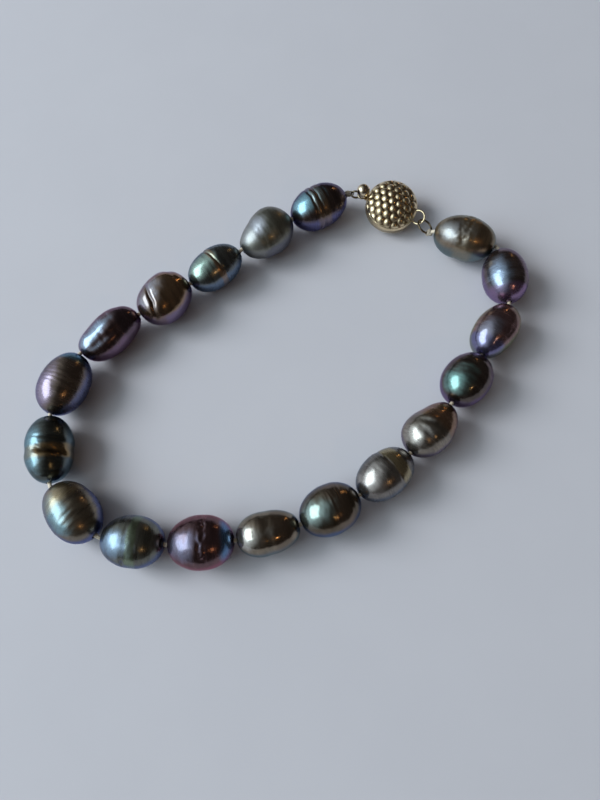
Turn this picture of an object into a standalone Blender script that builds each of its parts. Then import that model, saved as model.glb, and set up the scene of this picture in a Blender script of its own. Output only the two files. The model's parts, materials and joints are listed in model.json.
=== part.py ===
"""Pearl bracelet: eighteen dark baroque pearls on one silk thread, closed by a round gold box clasp.

The bracelet is fastened and lies on a flat surface at Z = 0. The strand starts at the clasp's
tongue, runs round the loop anticlockwise as seen from above, and ends at the clasp's soldered ring.
"""
import math
from collections import namedtuple

import bmesh
import bpy
import numpy as np
from mathutils import Matrix, Vector

MM = 0.001

# Driving sizes of the strand
PEARL_LENGTH = 9.2 * MM
PEARL_WIDTH = 7.1 * MM
PEARL_GAP = 0.3 * MM
THREAD = 0.6 * MM
BORE_CLEARANCE = 0.2 * MM
BORE = THREAD + 2 * BORE_CLEARANCE

# Driving sizes of the clasp
CASE_DIAMETER = 8.4 * MM
CASE_WALL_HEIGHT = 1.6 * MM
DOME_RISE = 1.6 * MM
SHEET = 0.3 * MM
BUMP_PITCH = 1.3 * MM
BUMP_RISE = 0.3 * MM
SLOT_WIDTH = 3.4 * MM
SLOT_DEPTH = 1.2 * MM
SLOT_CLEARANCE = 0.12 * MM
LEAF = 0.25 * MM
TAB_WIDTH = 1.2 * MM
BALL_DIAMETER = 2.1 * MM
BALL_STAND_OFF = 0.95 * MM
BALL_RISE = 0.65 * MM
NECK_DIAMETER = 0.6 * MM
NECK_STAND_OFF = 0.5 * MM
WIRE = 0.32 * MM
CASE_RING = 2.1 * MM
CASE_RING_STAND_OFF = 0.55 * MM
CASE_RING_DROP = 0.3 * MM
TONGUE_RING = 1.2 * MM
LEFT_JUMP_RING = 1.6 * MM
RIGHT_JUMP_RING = 2.56 * MM
LINK_GAP = 0.1 * MM

# How the fastened clasp lies. It hangs from the pearls' knots, so its height follows their width.
CLASP_DROP = 2.55 * MM
CLASP_LIFT = PEARL_WIDTH / 2 - CLASP_DROP
CLASP_HEADING = math.radians(-30)
CLASP_TILT = math.radians(13)
RINGS_LEAN = math.radians(14)
RINGS_TWIST = math.radians(32)
LEFT_LINK_HEADING = math.radians(168)
RIGHT_LINK_HEADING = math.radians(-62)
LEFT_KNOT_SLOPE = 0.35
RIGHT_KNOT_SLOPE = 0.9
LEFT_KNOT_HEADING = math.radians(197)
RIGHT_KNOT_HEADING = math.radians(-44)

# Knots at the two ends of the thread
KNOT_DIAMETER = 1.2 * MM
KNOT_LENGTH = 0.85 * MM
KNOT_LOOP = 0.72 * MM
KNOT_THREAD = 0.26 * MM
KNOT_CLEARANCE = 0.1 * MM

# Facets
PEARL_STEPS = 15
PEARL_RINGS = 9
CASE_STEPS = 32
DOME_RINGS = 6
CAVITY_STEPS = 24
CAVITY_RINGS = 3
RING_STEPS = 16
WIRE_STEPS = 7
ROUTE_STEPS = 24
SHARP_EDGE = math.radians(40)
WELD = 0.002 * MM

# The two pieces that follow others by a share
BUMP_RADIUS = 0.46 * BUMP_PITCH
GROOVE_WIDTH = 0.18

# One row for each pearl, from the tongue round to the ring. Length is a share of PEARL_LENGTH;
# width and height are shares of PEARL_WIDTH. Taper over 0 is fatter towards the next pearl, and
# fullness over 1 is a barrel and under 1 a spindle. Skew over 0 leans its far end to the wrist.
# A groove runs round the pearl at groove_at (-1 to 1 along it), groove_depth of its radius deep.
# Tone is its overtone, a key of TONES.
Pearl = namedtuple("Pearl", "length width height taper fullness skew groove_at groove_depth tone")
PEARLS = [
    Pearl(1.06, 0.99, 1.00, 0.02, 1.00, 0.06, 0.05, 0.03, "peacock"),
    Pearl(1.03, 1.02, 1.00, -0.18, 0.95, 0.16, 0.00, 0.00, "silver"),
    Pearl(1.01, 0.90, 0.94, 0.03, 1.05, 0.05, 0.15, 0.03, "slate"),
    Pearl(0.97, 1.07, 1.03, 0.02, 1.05, 0.14, 0.55, 0.03, "bronze"),
    Pearl(1.12, 0.89, 0.97, 0.02, 1.15, 0.20, 0.00, 0.00, "aubergine"),
    Pearl(1.07, 1.02, 1.00, 0.03, 1.05, -0.05, 0.00, 0.00, "bronze"),
    Pearl(1.07, 0.98, 0.98, 0.00, 1.10, 0.00, 0.05, 0.06, "peacock"),
    Pearl(1.03, 1.02, 1.00, 0.03, 1.05, -0.08, -0.30, 0.01, "bronze"),
    Pearl(0.95, 1.01, 1.00, 0.02, 1.05, 0.00, 0.00, 0.03, "slate"),
    Pearl(0.98, 1.05, 1.03, 0.03, 1.10, 0.00, 0.10, 0.02, "aubergine"),
    Pearl(0.95, 0.86, 0.92, -0.08, 1.25, 0.00, 0.00, 0.02, "silver"),
    Pearl(0.95, 1.00, 1.00, 0.02, 1.05, 0.00, 0.20, 0.02, "bronze"),
    Pearl(0.98, 0.92, 0.97, 0.00, 1.05, 0.00, 0.30, 0.03, "silver"),
    Pearl(1.00, 0.93, 0.96, -0.18, 1.00, -0.12, 0.30, 0.03, "silver"),
    Pearl(0.94, 1.00, 1.00, 0.00, 1.05, -0.05, 0.00, 0.00, "slate"),
    Pearl(1.02, 0.88, 0.95, 0.02, 1.12, -0.15, 0.00, 0.00, "aubergine"),
    Pearl(0.98, 0.98, 0.98, -0.04, 1.05, 0.00, 0.00, 0.02, "slate"),
    Pearl(1.06, 0.98, 1.00, 0.00, 1.08, 0.00, 0.10, 0.05, "bronze"),
]

TONES = {
    "peacock": (0.11, 0.17, 0.18),
    "silver": (0.30, 0.31, 0.31),
    "slate": (0.18, 0.20, 0.23),
    "bronze": (0.21, 0.16, 0.11),
    "aubergine": (0.18, 0.12, 0.16),
}

# Bare thread beyond the least gap, after these pearls
SLACK_AFTER = {2: 0.3 * MM, 7: 0.4 * MM, 8: 0.4 * MM, 9: 0.2 * MM, 14: 0.2 * MM, 16: 0.3 * MM}

# Where the strand runs as it lies, in millimetres from the middle of the loop, and the clasp's place
ROUTE = [
    (8.3, 24.9), (-0.4, 21.0), (-9.1, 15.4), (-17.4, 10.6), (-25.7, 5.9), (-30.4, 3.0), (-33.0, -1.8),
    (-34.9, -7.0), (-34.9, -11.6), (-34.8, -16.8), (-31.9, -21.2), (-27.7, -25.2), (-22.6, -26.4),
    (-13.0, -27.5), (-3.8, -26.8), (5.0, -24.7), (13.4, -19.9), (20.4, -14.5), (26.8, -7.0),
    (32.8, 0.5), (35.6, 5.0), (36.0, 9.2), (35.3, 14.5), (30.5, 17.6),
]
CLASP_AT = (19.8, 24.1)


def clear_scene():
    for obj in list(bpy.data.objects):
        bpy.data.objects.remove(obj)


def new_collection(name):
    collection = bpy.data.collections.new(name)
    bpy.context.scene.collection.children.link(collection)
    return collection


def new_material(name, colour, roughness, metallic):
    material = bpy.data.materials.new(name)
    material.use_nodes = True
    shader = material.node_tree.nodes["Principled BSDF"]
    shader.inputs["Base Color"].default_value = (*colour, 1.0)
    shader.inputs["Roughness"].default_value = roughness
    shader.inputs["Metallic"].default_value = metallic
    return material


def place(obj, collection, material=None):
    """Moves an object into one collection and gives it its material."""
    for old in obj.users_collection:
        old.objects.unlink(obj)
    collection.objects.link(obj)
    if material:
        obj.data.materials.clear()
        obj.data.materials.append(material)
    return obj


def as_cutter(obj, cutters):
    obj.hide_render = True
    obj.display_type = "WIRE"
    return place(obj, cutters)


def add_boolean(obj, other, operation):
    modifier = obj.modifiers.new(operation.title(), "BOOLEAN")
    modifier.operation = operation
    modifier.object = other
    modifier.solver = "EXACT"


def smooth(obj):
    """Shades an object smooth, apart from its sharp edges."""
    obj.data.shade_smooth()
    obj.data.set_sharp_from_angle(angle=SHARP_EDGE)
    return obj


def baked(obj):
    """Replaces an object by a plain mesh object of what its modifiers or its bevel show."""
    bpy.context.view_layer.update()
    evaluated = obj.evaluated_get(bpy.context.evaluated_depsgraph_get())
    mesh = bpy.data.meshes.new_from_object(evaluated)
    shape = bmesh.new()
    shape.from_mesh(mesh)
    bmesh.ops.remove_doubles(shape, verts=shape.verts, dist=WELD)
    shape.to_mesh(mesh)
    shape.free()
    name, matrix, collection = obj.name, obj.matrix_world.copy(), obj.users_collection[0]
    bpy.data.objects.remove(obj)
    plain = bpy.data.objects.new(name, mesh)
    plain.matrix_world = matrix
    collection.objects.link(plain)
    return smooth(plain)


def turned(name, profile, steps):
    """A profile of (radius, height) points, top to bottom down its outer side, turned about Z."""
    mesh = bpy.data.meshes.new(name)
    mesh.from_pydata([(radius, 0.0, height) for radius, height in profile],
                     [(i, i + 1) for i in range(len(profile) - 1)], [])
    obj = bpy.data.objects.new(name, mesh)
    bpy.context.scene.collection.objects.link(obj)
    screw = obj.modifiers.new("Turn", "SCREW")
    screw.axis = "Z"
    screw.steps = steps
    screw.render_steps = steps
    screw.use_merge_vertices = True
    screw.merge_threshold = WELD
    return obj


def torus(name, diameter, matrix):
    """A ring of the clasp's wire, whose diameter runs from middle to middle of the wire."""
    bpy.ops.mesh.primitive_torus_add(
        major_radius=diameter / 2, minor_radius=WIRE / 2,
        major_segments=RING_STEPS, minor_segments=WIRE_STEPS)
    obj = bpy.context.object
    obj.name = name
    obj.matrix_world = matrix
    return smooth(obj)


def frame(origin, x_axis, z_axis):
    """The matrix of a part whose Z is z_axis and whose X is x_axis, made square to it."""
    z = Vector(z_axis).normalized()
    x = Vector(x_axis)
    x = (x - z * x.dot(z)).normalized()
    y = z.cross(x)
    turn = Matrix((x, y, z)).transposed().to_4x4()
    return Matrix.Translation(origin) @ turn


def heading_vector(angle):
    return Vector((math.cos(angle), math.sin(angle), 0.0))


def in_plane(direction, normal):
    """The direction laid into the plane that has this normal."""
    return (direction - normal * direction.dot(normal)).normalized()


# The clasp's places

CASE_RADIUS = CASE_DIAMETER / 2
DOME_EDGE_SLOPE = 2 * DOME_RISE / CASE_RADIUS
SHEET_UNDER_DOME = SHEET * math.hypot(1.0, DOME_EDGE_SLOPE) + BUMP_RISE / 2
LEAF_FOLD = CASE_RADIUS * 0.6
LEAF_MOUTH = CASE_RADIUS * 0.8
LEAF_Z = SHEET + SLOT_CLEARANCE
TONGUE_RING_Z = LEAF_Z + LEAF / 2
TONGUE_RING_REACH = CASE_RADIUS + TONGUE_RING / 2 + WIRE + SLOT_CLEARANCE
BALL_REACH = CASE_RADIUS + BALL_STAND_OFF
BALL_Z = CASE_WALL_HEIGHT + BALL_RISE
NECK_REACH = CASE_RADIUS + NECK_STAND_OFF
CASE_RING_REACH = CASE_RADIUS + CASE_RING_STAND_OFF
CASE_RING_Z = CASE_WALL_HEIGHT - CASE_RING_DROP
UP = Vector((0.0, 0.0, 1.0))


def clasp_matrix(middle):
    """The clasp's frame: X from the tongue to the case's ring, Z out of the dome."""
    lowest = CASE_RADIUS * math.sin(CLASP_TILT)
    return (Matrix.Translation((middle[0], middle[1], CLASP_LIFT + lowest))
            @ Matrix.Rotation(CLASP_TILT, 4, "X")
            @ Matrix.Rotation(CLASP_HEADING, 4, "Z"))


def right_links(clasp):
    """Frames of the case's ring and the jump ring in it, and the thread's place on the latter."""
    face = Vector((0.0, -math.sin(RINGS_LEAN), math.cos(RINGS_LEAN)))
    along = in_plane(heading_vector(RIGHT_LINK_HEADING), face)
    case_normal = Matrix.Rotation(RINGS_TWIST, 3, along) @ face
    jump_normal = Matrix.Rotation(-RINGS_TWIST, 3, along) @ face
    case_middle = clasp @ Vector((CASE_RING_REACH, 0.0, CASE_RING_Z))
    between = (CASE_RING + RIGHT_JUMP_RING) / 2 - WIRE - LINK_GAP
    jump_middle = case_middle + along * between
    knot_way = in_plane(heading_vector(RIGHT_KNOT_HEADING) + UP * RIGHT_KNOT_SLOPE, jump_normal)
    wire_at = jump_middle + knot_way * RIGHT_JUMP_RING / 2
    return (frame(case_middle, along, case_normal), frame(jump_middle, along, jump_normal),
            wire_at, jump_normal.cross(knot_way))


def left_links(clasp):
    """Frame of the jump ring in the tongue's ring, and the thread's place on it."""
    way = heading_vector(LEFT_LINK_HEADING)
    hooked = TONGUE_RING / 2 - WIRE - LINK_GAP
    middle = clasp @ Vector((-TONGUE_RING_REACH, 0.0, TONGUE_RING_Z)) + way * (hooked + LEFT_JUMP_RING / 2)
    normal = way.cross(UP)
    knot_way = (way + UP * LEFT_KNOT_SLOPE).normalized()
    wire_at = middle + knot_way * LEFT_JUMP_RING / 2
    return frame(middle, way, normal), wire_at, normal.cross(knot_way)


# The strand's places

def smooth_curve(points):
    """A dense line through the points, as a Catmull-Rom curve, which runs straight on past its end.

    It also returns the index of the last of the points on that line.
    """
    points = np.array(points)
    ends = (2 * points[0] - points[1], 2 * points[-1] - points[-2])
    points = np.vstack((ends[0], points, ends[1]))
    share = np.arange(ROUTE_STEPS)[:, None] / ROUTE_STEPS
    dense = []
    for p0, p1, p2, p3 in zip(points, points[1:], points[2:], points[3:]):
        dense.append(0.5 * (2 * p1 + (p2 - p0) * share
                            + (2 * p0 - 5 * p1 + 4 * p2 - p3) * share ** 2
                            + (3 * p1 - p0 - 3 * p2 + p3) * share ** 3))
    dense.append(points[-2:-1])
    line = np.vstack(dense)
    last = (line[-1] - line[-2]) / np.linalg.norm(line[-1] - line[-2])
    beyond = line[-1] + last * np.arange(1, len(line))[:, None] * PEARL_LENGTH
    return np.vstack((line, beyond)), len(line) - 1


def walk(line, chords):
    """The joints between pearls, each a chord further along the line, and the last one's index on it."""
    joints = [line[0]]
    index = 0
    for chord in chords:
        here = joints[-1]
        while np.linalg.norm(line[index + 1] - here) < chord:
            index += 1
        near = np.linalg.norm(line[index] - here)
        far = np.linalg.norm(line[index + 1] - here)
        share = (chord - near) / (far - near)
        joints.append(line[index] + (line[index + 1] - line[index]) * share)
    return joints, index + share


def beyond_knot(wire_at, heading, row):
    """Where a pearl's mouth is, with the thread's knot between it and the jump ring's wire."""
    reach = WIRE / 2 + KNOT_LENGTH + 2 * KNOT_CLEARANCE
    rise = row.height * PEARL_WIDTH / 2 - wire_at.z
    beside = KNOT_LENGTH + KNOT_CLEARANCE
    sideways = math.sqrt(max(reach ** 2 - rise ** 2, beside ** 2))
    return wire_at + heading_vector(heading) * sideways


def strand_ends(scale):
    """The clasp's matrix on a loop of this scale, and where the thread meets the first and last pearl."""
    clasp = clasp_matrix([v * scale * MM for v in CLASP_AT])
    _, left_wire, _ = left_links(clasp)
    _, _, right_wire, _ = right_links(clasp)
    start = beyond_knot(left_wire, LEFT_KNOT_HEADING, PEARLS[0])
    end = beyond_knot(right_wire, RIGHT_KNOT_HEADING, PEARLS[-1])
    return clasp, start, end


def turn_opening(turn, before, after):
    """How much wider than the least gap two pearls stand where the strand turns by this angle."""
    tip = max((row.width * PEARL_WIDTH) ** 2 / (row.length * PEARL_LENGTH) / 2
              for row in (before, after))
    return 2 * tip * (1 / math.cos(turn / 2) - 1)


def lay_strand():
    """The clasp's matrix and the joints of the strand, on the loop scale that closes it."""
    gaps = [PEARL_GAP] * (len(PEARLS) - 1)
    for _ in range(4):
        chords = [row.length * PEARL_LENGTH + before / 2 + after / 2
                  for row, before, after in zip(PEARLS, [0.0] + gaps, gaps + [0.0])]
        low, high = 0.5, 2.0
        for _ in range(40):
            scale = (low + high) / 2
            clasp, start, end = strand_ends(scale)
            inner = [(x * scale * MM, y * scale * MM) for x, y in ROUTE]
            line, last = smooth_curve([start[:2]] + inner + [end[:2]])
            joints, reached = walk(line, chords)
            if reached > last:
                low = scale
            else:
                high = scale
        ways = np.diff(np.array(joints), axis=0)
        angles = np.unwrap(np.arctan2(ways[:, 1], ways[:, 0]))
        turns = np.abs(np.diff(angles))
        gaps = [PEARL_GAP + SLACK_AFTER.get(i + 1, 0.0) + turn_opening(turn, PEARLS[i], PEARLS[i + 1])
                for i, turn in enumerate(turns)]
    heights = [row.height * PEARL_WIDTH / 2 for row in PEARLS]
    levels = [heights[0]] + [(a + b) / 2 for a, b in zip(heights, heights[1:])] + [heights[-1]]
    return clasp, [Vector((*joint, level)) for joint, level in zip(joints, levels)], gaps


# Pearls

def pearl_profile(row):
    """The outer side of a drilled pearl, from its far end to its near end, then back up the bore."""
    radius = row.width * PEARL_WIDTH / 2
    half = row.length * PEARL_LENGTH / 2
    power = 1 / row.fullness
    first = math.asin((BORE / 2 / radius) ** (1 / power))
    angles = [first + (math.pi - 2 * first) * i / PEARL_RINGS for i in range(PEARL_RINGS + 1)]
    outer = [(radius * math.sin(a) ** power, half * math.cos(a) / math.cos(first)) for a in angles]
    return outer + [outer[0]]


def reshape_pearl(mesh, row):
    """Tapers, flattens, skews and grooves a turned pearl. Its bore and mouths stay as drilled."""
    radius = row.width * PEARL_WIDTH / 2
    half = row.length * PEARL_LENGTH / 2
    for vertex in mesh.vertices:
        x, y, z = vertex.co
        along = z / half
        skin = max(0.0, (math.hypot(x, y) - BORE / 2) / (radius - BORE / 2))
        groove = row.groove_depth * math.exp(-((along - row.groove_at) / GROOVE_WIDTH) ** 2)
        swell = 1 + skin * (row.taper * along - groove)
        rise = swell * (1 + skin * (row.height / row.width - 1))
        lean = skin * row.skew * radius * along
        vertex.co = (x * swell + lean, y * rise, z)


def build_pearl(number, row, near, far):
    """One pearl between two joints of the strand, resting on the surface, and how far it settled."""
    shape = baked(turned(f"pearl_{number:02d}", pearl_profile(row), PEARL_STEPS))
    reshape_pearl(shape.data, row)
    along = (far - near).normalized()
    inward = Vector((-along.y, along.x, 0.0))
    matrix = frame((near + far) / 2, inward, along)
    lowest = min((matrix @ vertex.co).z for vertex in shape.data.vertices)
    shape.matrix_world = Matrix.Translation((0.0, 0.0, -lowest)) @ matrix
    return shape, -lowest


def build_pearls(joints, gaps, collection, materials):
    """Every pearl of the strand. Returns where the thread enters and leaves each one."""
    mouths = []
    starts = [0.0] + [gap / 2 for gap in gaps]
    ends = [gap / 2 for gap in gaps] + [0.0]
    for i, row in enumerate(PEARLS):
        along = (joints[i + 1] - joints[i]).normalized()
        near = joints[i] + along * starts[i]
        far = joints[i + 1] - along * ends[i]
        shape, settled = build_pearl(i + 1, row, near, far)
        place(shape, collection, materials[row.tone])
        # The thread runs halfway between the bore's middle and the height of its neighbours.
        half = Vector((0.0, 0.0, settled / 2))
        mouths.append((near + half, far + half))
    return mouths


# Thread

def knot_middle(wire_at, mouth):
    """The knot lies beside the jump ring's wire, on the way to the pearl's mouth."""
    return wire_at + (mouth - wire_at).normalized() * (WIRE / 2 + KNOT_CLEARANCE + KNOT_LENGTH / 2)


def thread_points(mouths, left_wire, right_wire):
    """The thread's middle line: straight in each bore, turning in the gaps between the pearls."""
    first, last = mouths[0][0], mouths[-1][1]
    first_out = (first - mouths[0][1]).normalized() * THREAD / 2
    last_out = (last - mouths[-1][0]).normalized() * THREAD / 2
    points = [knot_middle(left_wire, first), first + first_out, first]
    for (near, far), (next_near, next_far) in zip(mouths, mouths[1:]):
        out = (far - near).normalized()
        into = (next_far - next_near).normalized()
        reach = (next_near - far).length / 4
        points += [far, (far + out * reach).lerp(next_near - into * reach, 0.5), next_near]
    points += [last, last + last_out, knot_middle(right_wire, last)]
    return points


def tube(name, points, diameter):
    """A POLY curve with a round bevel and filled caps, made a closed mesh."""
    curve = bpy.data.curves.new(name, "CURVE")
    curve.dimensions = "3D"
    curve.bevel_depth = diameter / 2
    curve.bevel_resolution = 2
    curve.use_fill_caps = True
    spline = curve.splines.new("POLY")
    spline.points.add(len(points) - 1)
    for target, point in zip(spline.points, points):
        target.co = (*point, 1.0)
    obj = bpy.data.objects.new(name, curve)
    bpy.context.scene.collection.objects.link(obj)
    return baked(obj)


def add_knot(thread, name, wire_at, wire_way, mouth, cutters):
    """A knot beside the pearl's mouth and the loop of thread round the jump ring's wire."""
    to_mouth = (mouth - wire_at).normalized()
    bpy.ops.mesh.primitive_uv_sphere_add(segments=10, ring_count=6, radius=0.5)
    knot = bpy.context.object
    knot.name = name
    knot.matrix_world = (frame(knot_middle(wire_at, mouth), wire_way, to_mouth)
                         @ Matrix.Diagonal((KNOT_DIAMETER, KNOT_DIAMETER, KNOT_LENGTH, 1.0)))
    add_boolean(thread, as_cutter(knot, cutters), "UNION")
    bpy.ops.mesh.primitive_torus_add(
        major_radius=KNOT_LOOP / 2, minor_radius=KNOT_THREAD / 2, major_segments=12, minor_segments=6)
    loop = bpy.context.object
    loop.name = name + "_loop"
    loop.matrix_world = frame(wire_at, to_mouth, wire_way - to_mouth * wire_way.dot(to_mouth))
    add_boolean(thread, as_cutter(loop, cutters), "UNION")


def build_thread(mouths, left, right, collection, cutters, material):
    """The thread and its two end knots. left and right are a wire's place and its direction."""
    thread = tube("silk_thread", thread_points(mouths, left[0], right[0]), THREAD)
    add_knot(thread, "knot_left", left[0], left[1], mouths[0][0], cutters)
    add_knot(thread, "knot_right", right[0], right[1], mouths[-1][1], cutters)
    return place(thread, collection, material)


# Clasp

def dome_height(radius):
    """The dome's height above the flat back, at this distance from its middle."""
    return CASE_WALL_HEIGHT + DOME_RISE * (1 - (radius / CASE_RADIUS) ** 2)


def dome_profile(reach, below, rings):
    """Points from the dome's middle out to this reach, this far below its skin."""
    radii = [reach * i / rings for i in range(rings + 1)]
    return [(radius, dome_height(radius) - below) for radius in radii]


def bump_places():
    """A hexagonal lattice over the dome, inside its plain rim."""
    limit = CASE_RADIUS - BUMP_PITCH / 2
    row_step = BUMP_PITCH * math.sqrt(3) / 2
    rows = int(limit / row_step) + 1
    for row in range(-rows, rows + 1):
        for column in range(-rows - 1, rows + 2):
            x = (column + (row % 2) / 2) * BUMP_PITCH
            y = row * row_step
            if math.hypot(x, y) < limit:
                yield x, y


def build_bumps(cutters):
    """The embossed bumps, as spheres sunk in the dome."""
    shape = bmesh.new()
    for x, y in bump_places():
        z = dome_height(math.hypot(x, y)) + BUMP_RISE - BUMP_RADIUS
        bmesh.ops.create_uvsphere(shape, u_segments=7, v_segments=5, radius=BUMP_RADIUS,
                                  matrix=Matrix.Translation((x, y, z)))
    mesh = bpy.data.meshes.new("bumps")
    shape.to_mesh(mesh)
    shape.free()
    obj = bpy.data.objects.new("bumps", mesh)
    bpy.context.scene.collection.objects.link(obj)
    return as_cutter(obj, cutters)


def build_case(clasp, ring_frame, collection, cutters, material):
    """The hollow round box: a turned body, its bumps, its cavity, the tongue's slot and its ring."""
    dome = dome_profile(CASE_RADIUS, 0.0, DOME_RINGS)
    case = baked(turned("clasp_case", dome + [(CASE_RADIUS, 0.0), (0.0, 0.0)], CASE_STEPS))
    inner = CASE_RADIUS - SHEET
    under = dome_profile(inner, SHEET_UNDER_DOME, CAVITY_RINGS)
    cavity = as_cutter(turned("cavity", under + [(inner, SHEET), (0.0, SHEET)], CAVITY_STEPS), cutters)
    slot_height = CASE_WALL_HEIGHT - 2 * SHEET
    bpy.ops.mesh.primitive_cube_add(size=1.0)
    slot = bpy.context.object
    slot.name = "slot"
    slot.matrix_world = (
        clasp @ Matrix.Translation((-CASE_RADIUS, 0.0, SHEET + slot_height / 2))
        @ Matrix.Diagonal((2 * SLOT_DEPTH, SLOT_WIDTH, slot_height, 1.0)))
    as_cutter(slot, cutters)
    for helper in (build_bumps(cutters), cavity):
        helper.matrix_world = clasp
    case.matrix_world = clasp
    add_boolean(case, bpy.data.objects["bumps"], "UNION")
    add_boolean(case, cavity, "DIFFERENCE")
    add_boolean(case, slot, "DIFFERENCE")
    ring = as_cutter(torus("case_ring", CASE_RING, ring_frame), cutters)
    add_boolean(case, ring, "UNION")
    return place(case, collection, material)


def leaf_outline():
    """The folded leaf seen from its side: its lower leg, the fold at the far end and its upper leg."""
    top = CASE_WALL_HEIGHT - SHEET - SLOT_CLEARANCE
    fold = LEAF_FOLD
    mouth = -LEAF_MOUTH
    return [
        (mouth, LEAF_Z), (fold, LEAF_Z), (fold + LEAF, LEAF_Z + LEAF / 2), (fold + LEAF, top - LEAF / 2),
        (fold, top), (mouth, top), (mouth, top - LEAF), (fold - LEAF, top - LEAF),
        (fold - LEAF, LEAF_Z + LEAF), (mouth, LEAF_Z + LEAF),
    ]


def extruded(name, outline, width):
    """A flat outline of (x, z) points, as thick as width along Y."""
    curve = bpy.data.curves.new(name, "CURVE")
    curve.dimensions = "2D"
    curve.fill_mode = "BOTH"
    curve.extrude = width / 2
    spline = curve.splines.new("POLY")
    spline.points.add(len(outline) - 1)
    for target, (x, z) in zip(spline.points, outline):
        target.co = (x, z, 0.0, 1.0)
    spline.use_cyclic_u = True
    obj = bpy.data.objects.new(name, curve)
    obj.matrix_world = Matrix.Rotation(math.pi / 2, 4, "X")
    bpy.context.scene.collection.objects.link(obj)
    return baked(obj)


def build_tongue(clasp, collection, cutters, material):
    """A folded spring leaf in the case; outside, its tab with the thumb ball above and the ring behind."""
    tongue = extruded("clasp_tongue", leaf_outline(), SLOT_WIDTH - 4 * SLOT_CLEARANCE)
    tongue.matrix_world = clasp @ tongue.matrix_world

    tab_end = TONGUE_RING_REACH - TONGUE_RING / 2
    tab_start = LEAF_MOUTH - SLOT_DEPTH
    bpy.ops.mesh.primitive_cube_add(size=1.0)
    tab = bpy.context.object
    # The tab is a hair thicker than the leaf, so that the two share no face.
    tab.matrix_world = (Matrix.Translation((-(tab_start + tab_end) / 2, 0.0, TONGUE_RING_Z))
                        @ Matrix.Diagonal((tab_end - tab_start, TAB_WIDTH, LEAF + 2 * WELD, 1.0)))
    bpy.ops.mesh.primitive_uv_sphere_add(
        segments=14, ring_count=8, radius=BALL_DIAMETER / 2, location=(-BALL_REACH, 0.0, BALL_Z))
    ball = bpy.context.object
    neck_height = BALL_Z - TONGUE_RING_Z
    bpy.ops.mesh.primitive_cylinder_add(
        vertices=10, radius=NECK_DIAMETER / 2, depth=neck_height,
        location=(-NECK_REACH, 0.0, TONGUE_RING_Z + neck_height / 2))
    neck = bpy.context.object
    ring = torus("tongue_ring", TONGUE_RING, Matrix.Translation((-TONGUE_RING_REACH, 0.0, TONGUE_RING_Z)))
    bpy.context.view_layer.update()
    for helper, name in ((tab, "tab"), (neck, "neck"), (ball, "ball"), (ring, "tongue_ring")):
        helper.name = name
        helper.matrix_world = clasp @ helper.matrix_world
        add_boolean(tongue, as_cutter(helper, cutters), "UNION")
    return place(tongue, collection, material)


def box_of(collection):
    """The lowest and highest corners of what a collection shows."""
    bpy.context.view_layer.update()
    graph = bpy.context.evaluated_depsgraph_get()
    corners = []
    for obj in collection.objects:
        shown = obj.evaluated_get(graph)
        corners += [shown.matrix_world @ vertex.co for vertex in shown.data.vertices]
    return [Vector(pick(values) for values in zip(*corners)) for pick in (min, max)]


def stand_on_origin(parts, cutters):
    """Moves everything so that the bracelet lies on Z = 0, with the origin in the middle of its box."""
    low, high = box_of(parts)
    middle = (low + high) / 2
    shift = Matrix.Translation((-middle.x, -middle.y, -low.z))
    for obj in list(parts.objects) + list(cutters.objects):
        obj.matrix_world = shift @ obj.matrix_world


def main():
    clear_scene()
    parts = new_collection("pearl_bracelet")
    cutters = new_collection("cutters")
    gold = new_material("champagne_gold", (0.78, 0.62, 0.40), 0.22, 1.0)
    silk = new_material("cream_silk", (0.78, 0.72, 0.60), 0.7, 0.0)
    pearls = {tone: new_material("pearl_" + tone, colour, 0.18, 0.6) for tone, colour in TONES.items()}

    clasp, joints, gaps = lay_strand()
    case_ring_frame, right_frame, right_wire, right_way = right_links(clasp)
    left_frame, left_wire, left_way = left_links(clasp)

    mouths = build_pearls(joints, gaps, parts, pearls)
    build_thread(mouths, (left_wire, left_way), (right_wire, right_way), parts, cutters, silk)
    build_case(clasp, case_ring_frame, parts, cutters, gold)
    build_tongue(clasp, parts, cutters, gold)
    place(torus("jump_ring_left", LEFT_JUMP_RING, left_frame), parts, gold)
    place(torus("jump_ring_right", RIGHT_JUMP_RING, right_frame), parts, gold)
    stand_on_origin(parts, cutters)


main()
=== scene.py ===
"""The looks of the pearl bracelet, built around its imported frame.

Each pearl, the thread, the rings and the clasp replace their plain solids in place. A pearl's axis
is read from its solid, and its shape follows the same table as the solid, with grooves, dents and
wrinkles added.
"""
import json
import math
from collections import namedtuple

import bmesh
import bpy
import numpy as np
from mathutils import Matrix, Vector, noise


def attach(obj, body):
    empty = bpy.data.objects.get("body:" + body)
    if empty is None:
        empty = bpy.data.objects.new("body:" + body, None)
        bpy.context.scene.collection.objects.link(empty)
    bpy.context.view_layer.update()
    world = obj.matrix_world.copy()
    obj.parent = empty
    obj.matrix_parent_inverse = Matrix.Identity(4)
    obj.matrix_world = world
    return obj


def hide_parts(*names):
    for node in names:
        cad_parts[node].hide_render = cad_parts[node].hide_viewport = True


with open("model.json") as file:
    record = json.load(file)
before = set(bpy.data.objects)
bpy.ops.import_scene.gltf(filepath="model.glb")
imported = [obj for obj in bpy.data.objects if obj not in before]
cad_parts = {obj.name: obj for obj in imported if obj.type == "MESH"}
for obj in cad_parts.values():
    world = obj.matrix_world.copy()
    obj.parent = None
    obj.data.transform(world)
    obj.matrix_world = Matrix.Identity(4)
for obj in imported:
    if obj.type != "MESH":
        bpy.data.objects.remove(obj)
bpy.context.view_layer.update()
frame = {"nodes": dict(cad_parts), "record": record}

MM = 0.001
UP = Vector((0.0, 0.0, 1.0))

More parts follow.
